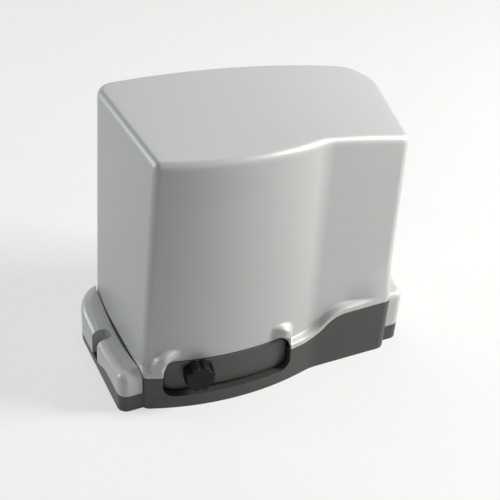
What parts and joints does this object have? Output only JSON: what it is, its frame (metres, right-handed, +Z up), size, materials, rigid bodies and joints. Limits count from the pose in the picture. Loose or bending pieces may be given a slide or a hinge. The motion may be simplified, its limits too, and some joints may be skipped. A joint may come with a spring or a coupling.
{
  "type": "sliding gate motor",
  "caption": "Sliding gate operator: light grey hood on a dark cast base with side covers, a keyed release lever across the front and a toothed pinion behind.",
  "frame": {"origin": "centre of the four foundation slots, on the underside of the base", "axes": "+X along the gate, to the right seen from the front; +Y backwards to the gate and its rack; +Z up"},
  "size_m": [0.3577, 0.2266, 0.2956],
  "materials": {
    "base_casting": "dark warm grey",
    "board_carrier": "moulded",
    "board_posts": "moulded",
    "board_screws": "zinc plated",
    "capacitors": "moulded",
    "circuit_board": "green laminate",
    "clutch_collar": "ground",
    "commutator": "enamelled copper",
    "controller_chip": "moulded",
    "front_output_bearing": "ground",
    "fuse_holder": "moulded",
    "gear_case": "cast",
    "gear_case_cover": "cast",
    "gear_case_screws": "zinc plated",
    "hood": "satin light grey",
    "hood_gasket": "moulded",
    "hood_screws": "ground",
    "left_side_cover": "satin light grey",
    "levelling_screws": "zinc plated",
    "lever_hinge_pin": "ground",
    "limit_lever": "zinc plated",
    "limit_spring": "zinc plated",
    "limit_switch_body": "moulded",
    "lock_spindle": "ground",
    "motor_brushes": "moulded",
    "motor_can": "black",
    "motor_end_bell": "cast",
    "motor_magnets": "ferrite",
    "motor_tail_bearing": "ground",
    "output_oil_seal": "moulded",
    "output_pinion": "ground",
    "output_shaft": "ground",
    "pinion_key": "ground",
    "pinion_screw": "zinc plated",
    "pinion_washer": "zinc plated",
    "rear_output_bearing": "ground",
    "relays": "moulded",
    "release_fork": "ground",
    "release_knob": "black",
    "release_lever": "dark grey",
    "right_side_cover": "satin light grey",
    "rotor_core": "ground",
    "rotor_windings": "enamelled copper",
    "terminal_blocks": "moulded",
    "transformer": "wound tape",
    "transformer_bolt": "zinc plated",
    "transformer_clamp": "zinc plated",
    "transformer_pad": "moulded",
    "worm_bearing_end_side": "ground",
    "worm_bearing_motor_side": "ground",
    "worm_shaft": "ground",
    "worm_wheel_hub": "ground",
    "worm_wheel_rim": "machined"
  },
  "bodies": {
    "root": {"base_casting": "base_casting", "board_carrier": "board_carrier", "board_posts": "board_posts", "board_screws": "board_screws", "capacitors": "capacitors", "circuit_board": "circuit_board", "controller_chip": "controller_chip", "front_output_bearing": "front_output_bearing", "fuse_holder": "fuse_holder", "gear_case": "gear_case", "gear_case_cover": "gear_case_cover", "gear_case_screws": "gear_case_screws", "hood": "hood", "hood_gasket": "hood_gasket", "hood_screws": "hood_screws", "left_side_cover": "left_side_cover", "levelling_screws": "levelling_screws", "lever_hinge_pin": "lever_hinge_pin", "limit_switch_body": "limit_switch_body", "motor_brushes": "motor_brushes", "motor_can": "motor_can", "motor_end_bell": "motor_end_bell", "motor_magnets": "motor_magnets", "motor_tail_bearing": "motor_tail_bearing", "output_oil_seal": "output_oil_seal", "rear_output_bearing": "rear_output_bearing", "relays": "relays", "right_side_cover": "right_side_cover", "terminal_blocks": "terminal_blocks", "transformer": "transformer", "transformer_bolt": "transformer_bolt", "transformer_clamp": "transformer_clamp", "transformer_pad": "transformer_pad", "worm_bearing_end_side": "worm_bearing_end_side", "worm_bearing_motor_side": "worm_bearing_motor_side"},
    "release_lever": {"release_lever": "release_lever"},
    "release_knob": {"release_knob": "release_knob", "lock_spindle": "lock_spindle"},
    "release_fork": {"release_fork": "release_fork"},
    "clutch_collar": {"clutch_collar": "clutch_collar"},
    "output": {"output_shaft": "output_shaft", "pinion_key": "pinion_key", "output_pinion": "output_pinion", "pinion_washer": "pinion_washer", "pinion_screw": "pinion_screw"},
    "worm_wheel": {"worm_wheel_hub": "worm_wheel_hub", "worm_wheel_rim": "worm_wheel_rim"},
    "rotor": {"worm_shaft": "worm_shaft", "rotor_core": "rotor_core", "rotor_windings": "rotor_windings", "commutator": "commutator"},
    "limit_lever": {"limit_lever": "limit_lever", "limit_spring": "limit_spring"}
  },
  "joints": [
    {"name": "lever_swing", "type": "hinge", "parent": "root", "child": "release_lever", "pos_m": [0.007, -0.07865, 0.0362], "axis": [0, 0, 1], "range_deg": [0, 75]},
    {"name": "knob_turn", "type": "hinge", "parent": "release_lever", "child": "release_knob", "pos_m": [-0.085, -0.08312, 0.041], "axis": [-0.1732, -0.9849, 0], "range_deg": [0, 90]},
    {"name": "fork_slide", "type": "slide", "parent": "root", "child": "release_fork", "axis": [0, 1, 0], "range_m": [0, 0.004]},
    {"name": "collar_slide", "type": "slide", "parent": "output", "child": "clutch_collar", "axis": [0, 1, 0], "range_m": [0, 0.004]},
    {"name": "output_spin", "type": "hinge", "parent": "root", "child": "output", "pos_m": [0.01006, 0.005, 0.08], "axis": [0, 1, 0], "continuous": true},
    {"name": "wheel_spin", "type": "hinge", "parent": "root", "child": "worm_wheel", "pos_m": [0.01006, 0.005, 0.08], "axis": [0, 1, 0], "continuous": true},
    {"name": "rotor_spin", "type": "hinge", "parent": "root", "child": "rotor", "pos_m": [0.01006, 0.005, 0.13], "axis": [1, 0, 0], "continuous": true},
    {"name": "limit_swing", "type": "hinge", "parent": "root", "child": "limit_lever", "pos_m": [0.01006, 0.0968, 0.15], "axis": [0, 1, 0], "range_deg": [-30, 30], "stiffness_Nm_per_rad": 0.05}
  ],
  "couplings": [
    {"joint": "fork_slide", "follows": "lever_swing", "m_per_rad": 0.0030557},
    {"joint": "collar_slide", "follows": "lever_swing", "m_per_rad": 0.0030557},
    {"joint": "wheel_spin", "follows": "output_spin", "ratio": 1},
    {"joint": "rotor_spin", "follows": "output_spin", "ratio": -30}
  ]
}
